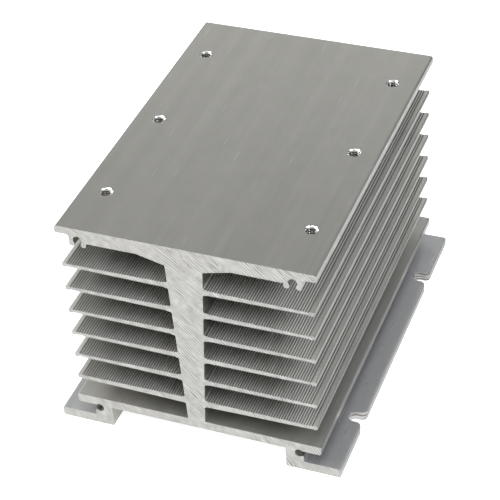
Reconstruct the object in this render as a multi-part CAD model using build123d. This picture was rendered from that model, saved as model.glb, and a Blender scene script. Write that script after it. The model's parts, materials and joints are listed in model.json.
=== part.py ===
# Extruded aluminium heat sink for a power module on its top plate.
#
# One bar of extrusion, sawn to length, then drilled and tapped. The bar runs along Y.
# Its section, seen from the front end, is a thick top plate, a tapering stem, level fins
# with serrated faces on both sides of the stem, a base plate, and two feet with flanges.
# Four C-shaped screw channels along the bar take the self-cutting screws of a square fan.
#
# X runs across, Y along the bar away from the front end, Z up. The origin is the middle of
# the footprint, on the floor. All sizes are in millimetres.

import os
from math import floor

from build123d import *

# Bar
length = 190.0

# Fan screw channels
fan_screw_spacing = 105.0
channel_bore_radius = 2.25
channel_mouth = 3.1
channel_side_wall = 2.1
channel_lip_length = 3.65
channel_lip_radius = 1.2
channel_cover = 6.55

# Top plate
plate_width = 127.5
plate_thickness = 7.6
plate_edge_thickness = 4.0
plate_upper_corner_radius = 1.5
plate_lower_chamfer = 0.4
plate_step_chamfer = 0.6

# Stem
stem_top_width = 18.6
stem_bottom_width = 8.9
haunch_width = 46.4
haunch_drop = 3.5

# Fins, measured over the crests of their serrations
fin_span = 124.4
fin_pitch = 14.0
fin_root_thickness = 3.5
fin_root_flare = 0.6
first_fin_height = 12.4
first_fin_extra_root = 0.5
least_air_under_plate = 12.0

# Smooth bead along each fin's tip, level with the crests
bead_thickness = 2.4
bead_width = 2.1
bead_chamfer = 0.4

# Serrations on both faces of each fin, apart from the first fin's underside
serration_pitch = 1.275
serration_depth = 0.7
smooth_root_width = 1.2

# Base plate
base_width = 127.5
base_thickness = 5.0
base_upper_chamfer = 0.4
base_lower_corner_radius = 1.2

# Feet
foot_height = 12.0
foot_width = 146.8
foot_outer_wall = 2.3
foot_web_thickness = 9.2
flange_thickness = 5.3
flange_edge_radius = 0.9
foot_chamfer = 0.4

# Open slots for the fixing screws
slot_spacing_across = 138.0
slot_spacing_along = 115.0
slot_width = 7.2
slot_mouth_radius = 3.0

# Tapped holes, each with a slight countersink
hole_columns_spacing = 102.0
hole_rows_spacing = 64.0
hole_rows = 3
hole_diameter = 6.0
countersink_diameter = 6.6

# Levels and half widths that follow from the sizes above
channel_x = fan_screw_spacing / 2
lower_channel_z = foot_height - channel_mouth / 2
upper_channel_z = lower_channel_z + fan_screw_spacing
top_z = upper_channel_z + channel_cover
plate_underside_z = top_z - plate_thickness
plate_edge_z = top_z - plate_edge_thickness
base_top_z = foot_height + base_thickness
stem_top_z = plate_underside_z - haunch_drop
web_outer_x = channel_x + foot_outer_wall
web_inner_x = web_outer_x - foot_web_thickness
first_fin_z = base_top_z + first_fin_height
fin_room = plate_underside_z - least_air_under_plate - first_fin_z
fin_count = floor(fin_room / fin_pitch) + 1
fin_levels = [first_fin_z + index * fin_pitch for index in range(fin_count)]


def stem_half_width(z):
    """Half the stem's width at a height, along its straight taper."""
    share = (z - base_top_z) / (stem_top_z - base_top_z)
    return (stem_bottom_width + share * (stem_top_width - stem_bottom_width)) / 2


def corners_at(shape, *places):
    """The corners of a flat shape that lie at the given points."""
    same_place = 1e-4
    targets = [Vector(*place) for place in places]
    return [v for v in shape.vertices() if any((v.center() - t).length < same_place for t in targets)]


def top_plate():
    """Plate with thinner rounded edges, a thick middle and a haunch that runs into the stem."""
    half = plate_width / 2
    thick_half = channel_x + channel_bore_radius + channel_side_wall
    slab = Polygon((-half, plate_edge_z), (half, plate_edge_z), (half, top_z), (-half, top_z), align=None)
    slab = fillet(corners_at(slab, (half, top_z), (-half, top_z)), plate_upper_corner_radius)
    slab = chamfer(corners_at(slab, (half, plate_edge_z), (-half, plate_edge_z)), plate_lower_chamfer)
    middle = Polygon(
        (-thick_half, plate_edge_z + plate_lower_chamfer),
        (-thick_half, plate_underside_z),
        (-haunch_width / 2, plate_underside_z),
        (-stem_top_width / 2, stem_top_z),
        (stem_top_width / 2, stem_top_z),
        (haunch_width / 2, plate_underside_z),
        (thick_half, plate_underside_z),
        (thick_half, plate_edge_z + plate_lower_chamfer),
        align=None,
    )
    return slab + middle


def upper_channel_body(side):
    """Block that holds an upper screw channel, with two lips that hang below the plate."""
    half = channel_bore_radius + channel_side_wall
    centre_x = side * channel_x
    lip_z = upper_channel_z - channel_lip_length
    mouth = channel_mouth / 2
    block = Polygon(
        (centre_x - half, lip_z),
        (centre_x + half, lip_z),
        (centre_x + half, plate_edge_z + plate_lower_chamfer),
        (centre_x - half, plate_edge_z + plate_lower_chamfer),
        align=None,
    )
    block -= Pos(centre_x, lip_z) * Rectangle(channel_mouth, 2 * channel_lip_length)
    lips = [(centre_x + offset, lip_z) for offset in (-half, -mouth, mouth, half)]
    return fillet(corners_at(block, *lips), channel_lip_radius)


def stem():
    """Tapered stem between the haunch and the base plate."""
    top = stem_top_width / 2
    bottom = stem_bottom_width / 2
    return Polygon(
        (-bottom, base_top_z - base_thickness / 2),
        (-bottom, base_top_z),
        (-top, stem_top_z),
        (-top, stem_top_z + haunch_drop / 2),
        (top, stem_top_z + haunch_drop / 2),
        (top, stem_top_z),
        (bottom, base_top_z),
        (bottom, base_top_z - base_thickness / 2),
        align=None,
    )


def fin_face(z, way, extra_root=0, serrated=True):
    """Corners of one face of a fin, from its tip into the stem. way is 1 above and -1 below."""
    tip_x = fin_span / 2
    bead_x = tip_x - bead_width
    root_x = stem_half_width(z)
    slope = (fin_root_thickness / 2 + extra_root - bead_thickness / 2) / (bead_x - root_x)

    def crest(x):
        return z + way * (bead_thickness / 2 + (bead_x - x) * slope)

    points = [
        (tip_x, z + way * (bead_thickness / 2 - bead_chamfer)),
        (tip_x - bead_chamfer, z + way * bead_thickness / 2),
        (bead_x, crest(bead_x)),
    ]
    if serrated:
        for rib in range(floor((bead_x - root_x - smooth_root_width) / serration_pitch)):
            crest_x = bead_x - (rib + 1) * serration_pitch
            valley_x = crest_x + serration_pitch / 2
            points.append((valley_x, crest(valley_x) - way * serration_depth))
            points.append((crest_x, crest(crest_x)))
    flare_x = root_x + fin_root_flare
    flare_z = crest(flare_x) + way * fin_root_flare
    points.append((flare_x, crest(flare_x)))
    points.append((stem_half_width(flare_z), flare_z))
    points.append((0, flare_z))
    return points


def fin(side, z):
    """One fin, from inside the stem to the smooth bead along its tip."""
    upper = fin_face(z, 1)
    if z == first_fin_z:
        lower = fin_face(z, -1, first_fin_extra_root, serrated=False)
    else:
        lower = fin_face(z, -1)
    return Polygon(*[(side * x, height) for x, height in upper + lower[::-1]], align=None)


def base_plate():
    """Base plate, with its upper corners broken and its lower ones rounded."""
    half = base_width / 2
    slab = Polygon((-half, foot_height), (half, foot_height), (half, base_top_z), (-half, base_top_z), align=None)
    slab = chamfer(corners_at(slab, (half, base_top_z), (-half, base_top_z)), base_upper_chamfer)
    return fillet(corners_at(slab, (half, foot_height), (-half, foot_height)), base_lower_corner_radius)


def foot(side):
    """Upright web under the base plate with a flange that reaches outward at the floor."""
    outer = foot_width / 2
    points = [
        (web_inner_x, 0),
        (outer, 0),
        (outer, flange_thickness),
        (web_outer_x, flange_thickness),
        (web_outer_x, foot_height + base_thickness / 2),
        (web_inner_x, foot_height + base_thickness / 2),
    ]
    shape = Polygon(*[(side * x, z) for x, z in points], align=None)
    shape = fillet(corners_at(shape, (side * outer, 0), (side * outer, flange_thickness)), flange_edge_radius)
    corners = [(side * web_inner_x, 0), (side * web_outer_x, flange_thickness)]
    return chamfer(corners_at(shape, *corners), foot_chamfer)


def section():
    """The whole section of the bar, drawn in X and Z."""
    sides = (-1, 1)
    step_x = channel_x + channel_bore_radius + channel_side_wall
    top = top_plate() + [upper_channel_body(side) for side in sides]
    top = chamfer(corners_at(top, (-step_x, plate_edge_z), (step_x, plate_edge_z)), plate_step_chamfer)
    base = base_plate() + [foot(side) for side in sides]
    for side in sides:
        top -= Pos(side * channel_x, upper_channel_z) * Circle(channel_bore_radius)
        base -= Pos(side * channel_x, lower_channel_z) * Circle(channel_bore_radius)
        mouth = Rectangle(foot_outer_wall, channel_mouth)
        base -= Pos(side * (channel_x + foot_outer_wall / 2), lower_channel_z) * mouth
    fins = [fin(side, z) for side in sides for z in fin_levels]
    return top + [stem(), base] + fins


def tapped_hole():
    """Cutter for one hole: its bore, down into the screw channel, and its countersink."""
    depth = channel_cover
    sink = (countersink_diameter - hole_diameter) / 2
    bore = Pos(0, 0, top_z - depth / 2) * Cylinder(hole_diameter / 2, depth)
    cone = Pos(0, 0, top_z - sink / 2) * Cone(hole_diameter / 2, countersink_diameter / 2, sink)
    return bore + cone


def fixing_slot(side):
    """Cutter for one open slot: a round inner end, straight sides and a rounded mouth."""
    inner_x = slot_spacing_across / 2
    edge_x = foot_width / 2
    flare = slot_width / 2 + slot_mouth_radius
    slot = Circle(slot_width / 2) + Pos((edge_x - inner_x) / 2, 0) * Rectangle(edge_x - inner_x, slot_width)
    mouth = Pos(edge_x - inner_x - slot_mouth_radius / 2, 0) * Rectangle(slot_mouth_radius, 2 * flare)
    for end in (-1, 1):
        mouth -= Pos(edge_x - inner_x - slot_mouth_radius, end * flare) * Circle(slot_mouth_radius)
    cutter = extrude(slot + mouth, flange_thickness)
    if side < 0:
        cutter = mirror(cutter, about=Plane.YZ)
    return Pos(side * inner_x, 0, 0) * cutter


def heat_sink():
    """The finished bar: extruded, drilled and slotted."""
    bar = extrude(Plane.XZ * section(), length / 2, both=True)
    cutters = []
    for side in (-1, 1):
        for row in range(hole_rows):
            y = (row - (hole_rows - 1) / 2) * hole_rows_spacing
            cutters.append(Pos(side * hole_columns_spacing / 2, y, 0) * tapped_hole())
        for end in (-1, 1):
            cutters.append(Pos(0, end * slot_spacing_along / 2, 0) * fixing_slot(side))
    return bar - cutters


os.makedirs("parts", exist_ok=True)
export_step(heat_sink(), "parts/heat_sink.step")
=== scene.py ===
import json
import math

import bpy
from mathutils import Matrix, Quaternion, Vector


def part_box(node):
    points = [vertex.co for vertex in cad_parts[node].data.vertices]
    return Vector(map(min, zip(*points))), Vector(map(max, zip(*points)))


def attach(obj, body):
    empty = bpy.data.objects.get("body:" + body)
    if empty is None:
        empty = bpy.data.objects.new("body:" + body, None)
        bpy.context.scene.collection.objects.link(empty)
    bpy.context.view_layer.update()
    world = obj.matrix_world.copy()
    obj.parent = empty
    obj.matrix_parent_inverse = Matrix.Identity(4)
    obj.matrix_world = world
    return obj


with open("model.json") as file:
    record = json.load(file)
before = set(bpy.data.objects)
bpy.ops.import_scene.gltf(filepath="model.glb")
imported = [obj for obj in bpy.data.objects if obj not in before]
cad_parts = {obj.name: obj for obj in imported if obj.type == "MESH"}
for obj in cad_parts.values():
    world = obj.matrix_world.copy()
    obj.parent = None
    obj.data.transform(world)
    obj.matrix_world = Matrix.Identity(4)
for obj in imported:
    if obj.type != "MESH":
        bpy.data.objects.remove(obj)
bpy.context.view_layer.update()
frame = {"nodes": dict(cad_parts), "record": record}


# The bar: one length of extruded aluminium with its plate, stem, fins, base and feet.
# It came out of the die with a thin grey skin, drawn into faint lines along the bar.
# Handling has left a few fine scratches and pits in it. This skin covers the whole bar first.

MM = 0.001

# Most values of a noise texture lie between these two.
NOISE_LOW = 0.3
NOISE_HIGH = 0.7

# How softly a scratch or a pit begins, as a step of the noise.
SPOT_EDGE = 0.06

bar = frame["nodes"]["heat_sink"]
bar_low, bar_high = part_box("heat_sink")
bar.data.materials.clear()


def linear(hex_colour):
    """A colour written as sRGB hex, as the linear values that a shader takes."""
    shares = [int(hex_colour[place:place + 2], 16) / 255 for place in (1, 3, 5)]
    return [s / 12.92 if s <= 0.04045 else ((s + 0.055) / 1.055) ** 2.4 for s in shares] + [1]


def add_node(tree, kind, settings):
    """Adds a node with its settings and links.

    A setting is one of the node's own attributes or the value of one of its inputs. A hex
    value is a colour. A node, or one of a node's outputs, is linked to the input.
    """
    node = tree.nodes.new("ShaderNode" + kind)
    for name, value in settings.items():
        if isinstance(name, str) and hasattr(node, name):
            setattr(node, name, value)
        elif isinstance(value, bpy.types.Node):
            tree.links.new(value.outputs[0], node.inputs[name])
        elif isinstance(value, bpy.types.NodeSocket):
            tree.links.new(value, node.inputs[name])
        else:
            node.inputs[name].default_value = linear(value) if isinstance(value, str) else value
    return node


def start_material(name):
    """A new material, and its tree with no nodes in it."""
    material = bpy.data.materials.new(name)
    material.use_nodes = True
    material.node_tree.nodes.clear()
    return material, material.node_tree


def extruded_aluminium(name, dull, bare, roughness, pits_from):
    """Mill finish as it leaves the die: a satin grey oxide skin over bright metal.

    It gives soft, wide reflections, with die lines along the bar, wider bands that are duller
    or barer, stains, fine pale scratches and small dark pits. The real die lines are about
    0.2 mm wide. They are drawn 0.7 mm wide, to show. roughness gives the least and the most,
    and there are pits where their noise is over pits_from.
    """
    material, tree = start_material(name)
    place = add_node(tree, "TexCoord", {}).outputs["Object"]
    patterns = {}
    for pattern, across, along, detail, seed in (
        ("die lines", 0.7, 60, 2, 3),
        ("bands", 7, 300, 2, 11),
        ("stains", 8, 13, 4, 5),
        ("scratches", 0.5, 26, 1, 23),
        ("pits", 1.1, 1.3, 1, 31),
    ):
        scale = (1 / (across * MM), 1 / (along * MM), 1 / (across * MM))
        shift = (seed, seed, seed)
        spot = add_node(tree, "Mapping", {"Vector": place, "Scale": scale, "Location": shift})
        noise = {"Vector": spot, "Scale": 1, "Detail": detail}
        patterns[pattern] = add_node(tree, "TexNoise", noise)
    spread = {"From Min": NOISE_LOW, "From Max": NOISE_HIGH}
    share = add_node(tree, "MapRange", {"Value": patterns["bands"], **spread})
    skin = add_node(tree, "MixRGB", {"Fac": share, "Color1": dull, "Color2": bare})
    for pattern, least, most in (("die lines", 0.98, 1.018), ("stains", 0.97, 1.02)):
        levels = {"Value": patterns[pattern], **spread, "To Min": least, "To Max": most}
        light = add_node(tree, "MapRange", levels)
        tint = {"blend_type": "MULTIPLY", "Fac": 1, "Color1": skin, "Color2": light}
        skin = add_node(tree, "MixRGB", tint)
    for pattern, start, tint in (("scratches", 0.73, "#E8E8E4"), ("pits", pits_from, "#A5A4A0")):
        levels = {"Value": patterns[pattern], "From Min": start, "From Max": start + SPOT_EDGE}
        share = add_node(tree, "MapRange", levels)
        skin = add_node(tree, "MixRGB", {"Fac": share, "Color1": skin, "Color2": tint})
    least, most = roughness
    levels = {"Value": patterns["die lines"], **spread, "To Min": least, "To Max": most}
    polish = add_node(tree, "MapRange", levels)
    drawn = {"Height": patterns["die lines"], "Strength": 0.3, "Distance": 0.02 * MM}
    relief = add_node(tree, "Bump", drawn)
    shader = {"Metallic": 0.95, "Base Color": skin, "Roughness": polish, "Normal": relief}
    metal = add_node(tree, "BsdfPrincipled", shader)
    add_node(tree, "OutputMaterial", {"Surface": metal})
    return material


def dress(material, wanted):
    """Gives a finish to the bar's faces whose place and facing are wanted."""
    bar.data.materials.append(material)
    for face in bar.data.polygons:
        if wanted(face.center, face.normal):
            face.material_index = len(bar.data.materials) - 1


dress(
    extruded_aluminium(
        "extruded_aluminium", dull="#B4B3AD", bare="#BBBAB4", roughness=(0.33, 0.4), pits_from=0.74
    ),
    lambda place, facing: True,
)


# The tops of the feet's flanges: the same skin of the same bar.
# It is painted paler and cooler there, as painted light, and is rougher and more pitted.

FLANGE_TOP = 6 * MM

# How much of its normal points up, at least, for a face to count as looking up.
UPWARD = 0.5


def on_flange_top(place, facing):
    """Whether a face looks up from a foot's flange."""
    return facing.z > UPWARD and place.z < FLANGE_TOP


dress(
    # A paler, cooler copy of the skin: painted light.
    extruded_aluminium(
        "painted_light_flange_aluminium",
        dull="#C1C2C3",
        bare="#CACBCC",
        roughness=(0.46, 0.53),
        pits_from=0.69,
    ),
    on_flange_top,
)


# The base plate's top: the same skin again, sheltered under the lowest fins from every hand.
# It was never rubbed smooth, so it is rougher than the plate's top and shines less.

BASE_TOP = 17 * MM

# How far from a plane a face may lie and still count as in it.
LEVEL_SLACK = 0.1 * MM


def on_base_top(place, facing):
    """Whether a face lies in the base plate's top."""
    return facing.z > UPWARD and abs(place.z - BASE_TOP) < LEVEL_SLACK


dress(
    extruded_aluminium(
        "sheltered_extruded_aluminium",
        dull="#BBBAB4",
        bare="#C2C1BB",
        roughness=(0.46, 0.53),
        pits_from=0.72,
    ),
    on_base_top,
)


# The edges: the narrow sides of the plate, fins and flanges, and the smooth beads of the fins.
# The narrow sides are painted darker than the skin, as painted shade, and are a little rougher.
# The flats of the beads are painted paler, as painted light, and are rougher, so less shiny.

# The fins' tips lie between these two heights.
FINS_LOW = 24 * MM
FINS_HIGH = 102 * MM

# Each of these lies a little inside the edge that it is named for.
BEAD_INNER_EDGE = 60 * MM
FIN_SIDE = 61.5 * MM
FLANGE_SIDE = 72.4 * MM

# How much of its normal a face has along an axis, at least, to count as facing that way.
STRAIGHT = 0.95
FLANGE_SIDE_FACING = 0.75
BEAD_FLAT_FACING = 0.9


def on_narrow_side(place, facing):
    """Whether a face is a narrow side of a flange, a fin or the plate."""
    flange = abs(place.x) > FLANGE_SIDE and abs(facing.x) > FLANGE_SIDE_FACING
    upper = abs(place.x) > FIN_SIDE and abs(facing.x) > STRAIGHT and place.z > FINS_LOW
    return flange or upper


def on_bead_flat(place, facing):
    """Whether a face is the upper or lower flat of the bead along a fin's tip."""
    outer = abs(place.x) > BEAD_INNER_EDGE and FINS_LOW < place.z < FINS_HIGH
    return outer and abs(facing.z) > BEAD_FLAT_FACING


# The narrow sides: the skin painted darker, as painted shade.
dress(
    extruded_aluminium(
        "painted_shade_side_aluminium",
        dull="#9C9B96",
        bare="#A4A39D",
        roughness=(0.36, 0.43),
        pits_from=0.74,
    ),
    on_narrow_side,
)
# The flats of the beads: the skin painted paler, as painted light on the fins' tops.
dress(
    extruded_aluminium(
        "painted_light_bead_aluminium",
        dull="#CFCEC8",
        bare="#D9D8D2",
        roughness=(0.5, 0.58),
        pits_from=0.74,
    ),
    on_bead_flat,
)


# The ribs: the die also cut fine ribs into both faces of each fin, with a groove beside each.
# They are the bar's own metal. Their crests are painted lighter, as a painted highlight, and the
# grooves darker, as painted shade.

RIB_PITCH = 1.275 * MM

# The first crest lies beside the bead, this far from the bar's middle.
FIRST_CREST = 60.1 * MM

# How much the painted highlight lightens the skin on the crests, and how much the painted shade
# darkens it in the grooves.
CREST_PAINTED_HIGHLIGHT = 1.2
GROOVE_PAINTED_SHADE = 0.36

# How much of its normal a rib's flank has across the bar, at least.
RIB_FACING = 0.3


def ribbed_aluminium_painted_light_and_shade():
    """Paler extruded skin, with a painted highlight on each crest and painted shade in each
    groove.

    The grooves are only 0.7 mm deep, so the painted shade in them is drawn strong, to show.
    The grooves are only 0.7 mm deep, so their dullness is drawn stronger than it is, to show.
    """
    # The ribs' skin is painted paler than the bar's, as painted light in the shaded gaps between
    # the fins.
    material = extruded_aluminium(
        "ribbed_aluminium_painted_light_and_shade", dull="#CCCBC5", bare="#D6D5CF", roughness=(0.5, 0.58), pits_from=0.74
    )
    tree = material.node_tree
    place = tree.nodes["Texture Coordinate"].outputs["Object"]
    across = add_node(tree, "SeparateXYZ", {0: place})
    from_middle = add_node(tree, "Math", {"operation": "ABSOLUTE", 0: across})
    inward = add_node(tree, "Math", {"operation": "SUBTRACT", 0: FIRST_CREST, 1: from_middle})
    ribs = add_node(tree, "Math", {"operation": "DIVIDE", 0: inward, 1: RIB_PITCH})
    depth = add_node(tree, "Math", {"operation": "PINGPONG", 0: ribs, 1: 0.5})
    # The painted highlight on the crests and the painted shade in the grooves, as a factor on the
    # skin.
    levels = {"From Min": 0.05, "From Max": 0.45, "To Min": CREST_PAINTED_HIGHLIGHT, "To Max": GROOVE_PAINTED_SHADE}
    light = add_node(tree, "MapRange", {"Value": depth, **levels})
    metal = tree.nodes["Principled BSDF"]
    skin = metal.inputs["Base Color"].links[0].from_socket
    tint = {"blend_type": "MULTIPLY", "Fac": 1, "Color1": skin, "Color2": light}
    shaded = add_node(tree, "MixRGB", tint)
    tree.links.new(shaded.outputs[0], metal.inputs["Base Color"])
    return material


def on_rib(place, facing):
    """Whether a face is a flank of a rib."""
    inner = abs(place.x) < FIRST_CREST and FINS_LOW < place.z < FINS_HIGH
    return inner and RIB_FACING < abs(facing.x) < STRAIGHT


dress(ribbed_aluminium_painted_light_and_shade(), on_rib)


# The ends: the bar was cut to length with a circular saw, which left bright bare metal.
# Its teeth drew long, slightly curved marks, clear in some patches and smeared in others.

# The blade's centre lay below the bar, to its left, at about this distance.
BLADE_CENTRE = (-240 * MM, 0, -180 * MM)
BLADE_TO_BAR = 330 * MM

MARK_PITCH = 1.25 * MM
MARK_WANDER = 1.6
END_FACING = 0.99


def sawn_aluminium():
    """Bright bare metal with the marks of a saw's teeth, half of them smeared over.

    The marks are arcs about the blade's centre, a pitch apart, and wander by up to
    MARK_WANDER pitches.
    """
    material, tree = start_material("sawn_aluminium")
    place = add_node(tree, "TexCoord", {}).outputs["Object"]
    arm = add_node(tree, "VectorMath", {"operation": "SUBTRACT", 0: place, 1: BLADE_CENTRE})
    flat_arm = add_node(tree, "VectorMath", {"operation": "MULTIPLY", 0: arm, 1: (1, 0, 1)})
    reach = add_node(tree, "VectorMath", {"operation": "LENGTH", 0: flat_arm}).outputs["Value"]
    parts = add_node(tree, "SeparateXYZ", {0: flat_arm}).outputs
    turn = add_node(tree, "Math", {"operation": "ARCTAN2", 0: parts["Z"], 1: parts["X"]})
    along = add_node(tree, "Math", {"operation": "MULTIPLY", 0: turn, 1: BLADE_TO_BAR})
    swept = add_node(tree, "CombineXYZ", {"X": reach, "Y": along})
    patterns = {}
    for pattern, spot, size, detail, seed in (
        ("drift", swept, (14, 30, 1), 1, 3),
        ("scores", swept, (0.42, 9, 1), 3, 19),
        ("patches", place, (8, 8, 8), 2, 7),
        ("blotches", place, (3.5, 3.5, 3.5), 4, 13),
    ):
        scale = [1 / (side * MM) for side in size]
        shift = (seed, seed, seed)
        spot = add_node(tree, "Mapping", {"Vector": spot, "Scale": scale, "Location": shift})
        noise = {"Vector": spot, "Scale": 1, "Detail": detail}
        patterns[pattern] = add_node(tree, "TexNoise", noise)
    levels = {"Value": patterns["drift"], "To Min": -MARK_WANDER, "To Max": MARK_WANDER}
    wander = add_node(tree, "MapRange", levels)
    teeth = add_node(tree, "Math", {"operation": "DIVIDE", 0: reach, 1: MARK_PITCH})
    teeth = add_node(tree, "Math", {"operation": "ADD", 0: teeth, 1: wander})
    patterns["teeth"] = add_node(tree, "Math", {"operation": "PINGPONG", 0: teeth, 1: 0.5})
    shares = {}
    for pattern, low, high, least in (
        ("teeth", 0.1, 0.5, 0),
        ("scores", 0.36, 0.66, 0),
        ("patches", 0.42, 0.56, 0.15),
        ("blotches", 0.35, 0.65, 0),
    ):
        levels = {"Value": patterns[pattern], "From Min": low, "From Max": high, "To Min": least}
        shares[pattern] = add_node(tree, "MapRange", levels)
    both = {"Fac": 0.55, "Color1": shares["teeth"], "Color2": shares["scores"]}
    marks = add_node(tree, "MixRGB", both)
    scored = add_node(tree, "MixRGB", {"Fac": marks, "Color1": "#7C7B76", "Color2": "#DAD9D4"})
    bare = {"Fac": shares["blotches"], "Color1": "#A2A19C", "Color2": "#BEBDB8"}
    smeared = add_node(tree, "MixRGB", bare)
    mixed = {"Fac": shares["patches"], "Color1": smeared, "Color2": scored}
    colour = add_node(tree, "MixRGB", mixed)
    relief = add_node(tree, "Bump", {"Height": marks, "Strength": 0.5, "Distance": 0.05 * MM})
    shader = {"Metallic": 1, "Roughness": 0.5, "Base Color": colour, "Normal": relief}
    metal = add_node(tree, "BsdfPrincipled", shader)
    add_node(tree, "OutputMaterial", {"Surface": metal})
    return material


def on_end(place, facing):
    """Whether a face lies in one of the bar's two ends."""
    from_end = min(place.y - bar_low.y, bar_high.y - place.y)
    return abs(facing.y) > END_FACING and from_end < LEVEL_SLACK


dress(sawn_aluminium(), on_end)


# The slots: four open slots for fixing screws, cut through the flanges with an end mill.
# The mill left shallow lines along the slots' walls, light and dark by turns.

SLOTS_APART = 115 * MM

# A slot's walls lie at most this far from its middle along the bar, and between these two
# across it.
SLOT_REACH = 7 * MM
SLOT_INNER_END = 64 * MM
SLOT_MOUTH = bar_high.x - 0.02 * MM

# How much of its normal a slot's wall has up or down, at most.
SLOT_WALL_FACING = 0.1

# The width and the length of the lines that a tool leaves.
CUT_LINE = 0.7 * MM
CUT_LENGTH = 12 * MM


def cut_aluminium(name, dark, bright):
    """Bare metal turned by a mill, a countersink or a tap: shiny, in lines round the tool's axis.

    The real lines are about 0.2 mm wide. They are drawn 0.7 mm wide, to show.
    """
    material, tree = start_material(name)
    place = add_node(tree, "TexCoord", {}).outputs["Object"]
    scale = (1 / CUT_LENGTH, 1 / CUT_LENGTH, 1 / CUT_LINE)
    spot = add_node(tree, "Mapping", {"Vector": place, "Scale": scale})
    lines = add_node(tree, "TexNoise", {"Vector": spot, "Scale": 1, "Detail": 2})
    share = add_node(tree, "MapRange", {"Value": lines, "From Min": 0.38, "From Max": 0.62})
    colour = add_node(tree, "MixRGB", {"Fac": share, "Color1": dark, "Color2": bright})
    relief = add_node(tree, "Bump", {"Height": lines, "Strength": 0.3, "Distance": 0.02 * MM})
    shader = {"Metallic": 1, "Roughness": 0.2, "Base Color": colour, "Normal": relief}
    metal = add_node(tree, "BsdfPrincipled", shader)
    add_node(tree, "OutputMaterial", {"Surface": metal})
    return material


def on_slot_wall(place, facing):
    """Whether a face is a wall of one of the four slots."""
    beside = abs(abs(place.y) - SLOTS_APART / 2) < SLOT_REACH
    outer = SLOT_INNER_END < abs(place.x) < SLOT_MOUTH
    return beside and outer and abs(facing.z) < SLOT_WALL_FACING


dress(cut_aluminium("milled_aluminium", dark="#605E5A", bright="#D0CFCB"), on_slot_wall)


# The tapped holes: six in the plate, each with a bright countersink and an M6 thread below it.
# Each thread is a thin closed liner in its hole. The countersink goes on into the liner and
# cuts off the thread's topmost turns, as the real one does.

# Each bore ends above this depth, in a screw channel.
HOLE_BOTTOM = 6.6 * MM

# A countersink has more of its normal up or down than this, and a bore's wall has less.
SINK_FACING = 0.2

# The thread's pitch and crests, and its flats as shares of the pitch.
THREAD_PITCH = 1.0 * MM
THREAD_CREST_RADIUS = 2.46 * MM
CREST_SHARE = 0.125
ROOT_SHARE = 0.25

# The liner's outer wall lies this far inside the bar's metal.
LINER_WALL = 0.03 * MM

# The liner is countersunk down to the first of these depths, and threaded to the second.
SINK_BOTTOM = 0.85 * MM
LINER_BOTTOM = 4.25 * MM

STEPS_ROUND = 64
STEPS_PER_PITCH = 14

countersunk = cut_aluminium("countersunk_aluminium", dark="#E6E6E4", bright="#F4F4F2")
# The thread is painted much darker than the freshly cut countersink, as painted shade inside the
# bore.
threaded = cut_aluminium("threaded_aluminium_painted_shade", dark="#84827E", bright="#C2C0BC")
mounts = {mount["name"]: mount for mount in frame["record"]["mounts"]}
hole_radius = mounts["module_holes_corners"]["dims"]["hole_r_mm"] * MM
sink_depth = bar_high.z - mounts["module_holes_corners"]["pos_m"][2]

# The middles of the six holes, level with the plate's top, from the record's two patterns.
holes = []
for pattern in ("module_holes_corners", "module_holes_middle"):
    sizes = mounts[pattern]["dims"]
    half_x = sizes["spacing_x_mm"] * MM / 2
    half_y = sizes.get("spacing_y_mm", 0) * MM / 2
    rows = sorted({-half_y, half_y})
    holes += [Vector((side * half_x, y, bar_high.z)) for side in (-1, 1) for y in rows]


def in_hole(place, facing):
    """Whether a face is the wall or the countersink of one of the holes."""
    for mouth in holes:
        off = place - mouth
        near = off.xy.length < hole_radius + sink_depth and off.z > -HOLE_BOTTOM
        if near and off.xy.dot(facing.xy) < 0 and abs(facing.z) < STRAIGHT:
            return True
    return False


def thread_radius(angle, depth):
    """How far the liner lies from the hole's axis, at an angle and a depth under the mouth."""
    wide = hole_radius - LINER_WALL / 2
    phase = (depth / THREAD_PITCH + angle / (2 * math.pi)) % 1
    flank = (abs(phase - 0.5) - CREST_SHARE / 2) / (0.5 - CREST_SHARE / 2 - ROOT_SHARE / 2)
    profile = THREAD_CREST_RADIUS + max(0, min(1, flank)) * (wide - THREAD_CREST_RADIUS)
    sink = hole_radius + sink_depth - depth
    return max(profile, min(sink, wide))


def line_hole(mouth, vertices, faces):
    """Adds one hole's liner: its threaded inside, and the plain wall behind that."""
    first = len(vertices)
    rows = round((LINER_BOTTOM - sink_depth) / THREAD_PITCH * STEPS_PER_PITCH)
    depths = [sink_depth + (LINER_BOTTOM - sink_depth) * row / rows for row in range(rows + 1)]
    angles = [2 * math.pi * step / STEPS_ROUND for step in range(STEPS_ROUND)]
    rings = [(depth, [thread_radius(angle, depth) for angle in angles]) for depth in depths]
    plain = [hole_radius + LINER_WALL] * STEPS_ROUND
    rings += [(depths[-1], plain), (depths[0], plain)]
    for depth, radii in rings:
        for angle, radius in zip(angles, radii):
            off = Vector((radius * math.cos(angle), radius * math.sin(angle), -depth))
            vertices.append(mouth + off)
    for ring in range(len(rings)):
        below = (ring + 1) % len(rings)
        for step in range(STEPS_ROUND):
            after = (step + 1) % STEPS_ROUND
            corners = ((ring, step), (ring, after), (below, after), (below, step))
            faces.append([first + level * STEPS_ROUND + turn for level, turn in corners])


dress(countersunk, lambda place, facing: in_hole(place, facing) and abs(facing.z) > SINK_FACING)
# The bores' walls take the thread's painted shade too.
dress(threaded, lambda place, facing: in_hole(place, facing) and abs(facing.z) <= SINK_FACING)

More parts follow.
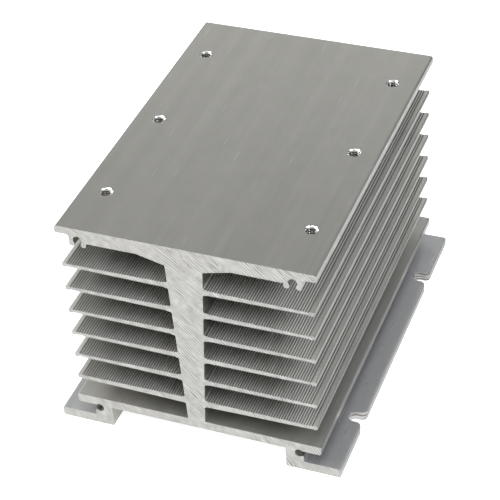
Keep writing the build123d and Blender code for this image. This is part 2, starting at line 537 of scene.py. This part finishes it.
vertices, faces = [], []
for mouth in holes:
    line_hole(mouth, vertices, faces)
thread_mesh = bpy.data.meshes.new("hole_threads")
thread_mesh.from_pydata(vertices, [], faces)
thread_mesh.validate()
thread_mesh.materials.append(countersunk)
thread_mesh.materials.append(threaded)
for face in thread_mesh.polygons:
    face.material_index = 0 if bar_high.z - face.center.z < SINK_BOTTOM else 1
threads = bpy.data.objects.new("hole_threads", thread_mesh)
bpy.context.scene.collection.objects.link(threads)
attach(threads, "root")


# The studio: a matt white floor, four soft lamps, and a grey sky that is bright overhead and
# in a band a third of the way up, as where a white wall stands behind the lamps.
# The floor shows white to the eye and light grey to the metal, and takes the bar's shadow.

# In metres.
FLOOR_HALF = 6


def matt_floor():
    """Matt white board, with no gloss."""
    material, tree = start_material("studio_floor")
    path = add_node(tree, "LightPath", {})
    glow = 0
    for ray, strength in (
        ("Is Camera Ray", 0.8),
        ("Is Glossy Ray", 0.48),
        ("Is Transmission Ray", 0.48),
    ):
        seen = path.outputs[ray]
        share = add_node(tree, "Math", {"operation": "MULTIPLY", 0: seen, 1: strength})
        glow = add_node(tree, "Math", {"operation": "ADD", 0: share, 1: glow})
    light = add_node(tree, "Emission", {"Strength": glow})
    board = add_node(tree, "BsdfDiffuse", {"Color": "#DADADA"})
    both = add_node(tree, "AddShader", {0: light, 1: board})
    add_node(tree, "OutputMaterial", {"Surface": both})
    return material


floor_mesh = bpy.data.meshes.new("floor")
signs = ((-1, -1), (1, -1), (1, 1), (-1, 1))
corners = [(x * FLOOR_HALF, y * FLOOR_HALF, bar_low.z) for x, y in signs]
floor_mesh.from_pydata(corners, [], [(0, 1, 2, 3)])
floor_mesh.materials.append(matt_floor())
floor = bpy.data.objects.new("floor", floor_mesh)
bpy.context.scene.collection.objects.link(floor)

world = bpy.data.worlds.new("studio")
bpy.context.scene.world = world
world.use_nodes = True
sky = world.node_tree
sky.nodes.clear()
way = add_node(sky, "TexCoord", {}).outputs["Generated"]
height = add_node(sky, "SeparateXYZ", {0: way}).outputs["Z"]
shade = add_node(sky, "ValToRGB", {"Fac": height})
stops = shade.color_ramp.elements
sky_levels = ((0.3, "#404040"), (0.5, "#CCCCCC"), (0.7, "#6C6C6C"), (1, "#F0F0F0"))
for level, _ in sky_levels[1:-1]:
    stops.new(level)
for stop, (level, colour) in zip(stops, sky_levels):
    stop.position = level
    stop.color = linear(colour)
background = add_node(sky, "Background", {"Color": shade, "Strength": 1})
add_node(sky, "OutputWorld", {"Surface": background})


def soft_lamp(name, place, width, height, watts, colour="#FFFFFF"):
    """A soft box, hidden from the eye, that faces the middle of the bar."""
    lamp = bpy.data.lights.new(name, "AREA")
    lamp.shape = "RECTANGLE"
    lamp.size = width
    lamp.size_y = height
    lamp.energy = watts
    lamp.color = linear(colour)[:3]
    holder = bpy.data.objects.new(name, lamp)
    holder.location = place
    aim = (bar_low + bar_high) / 2 - holder.location
    holder.rotation_mode = "QUATERNION"
    holder.rotation_quaternion = aim.to_track_quat("-Z", "Y")
    holder.visible_camera = False
    bpy.context.scene.collection.objects.link(holder)


soft_lamp("front_lamp", (-0.05, -1.05, 1.2), width=2.0, height=0.45, watts=6)
soft_lamp("left_lamp", (-1.0, -0.4, 0.95), width=1.0, height=0.4, watts=17)
soft_lamp("right_lamp", (1.05, -0.35, 0.85), width=0.8, height=0.6, watts=17.5, colour="#F0F4FF")
soft_lamp("back_lamp", (-0.25, 0.9, 0.55), width=1.0, height=0.3, watts=0.6)


# The camera: above the front right, tipped by a few degrees as the photo is.
# Its distance and lens give the photo's perspective in a square picture.

AZIMUTH = math.radians(22.427)
ELEVATION = math.radians(37.929)
ROLL = math.radians(-3.337)
DISTANCE = 0.8613
AIM = Vector((-0.0004, -0.0136, 0.061))

camera = bpy.data.objects.new("camera", bpy.data.cameras.new("camera"))
camera.data.sensor_width = 36
camera.data.lens = 122.695
back = Vector(
    (
        math.sin(AZIMUTH) * math.cos(ELEVATION),
        -math.cos(AZIMUTH) * math.cos(ELEVATION),
        math.sin(ELEVATION),
    )
)
camera.location = AIM + DISTANCE * back
camera.rotation_mode = "QUATERNION"
camera.rotation_quaternion = (-back).to_track_quat("-Z", "Y") @ Quaternion((0, 0, 1), ROLL)
bpy.context.scene.collection.objects.link(camera)
bpy.context.scene.camera = camera

bpy.context.scene.view_settings.view_transform = "Standard"
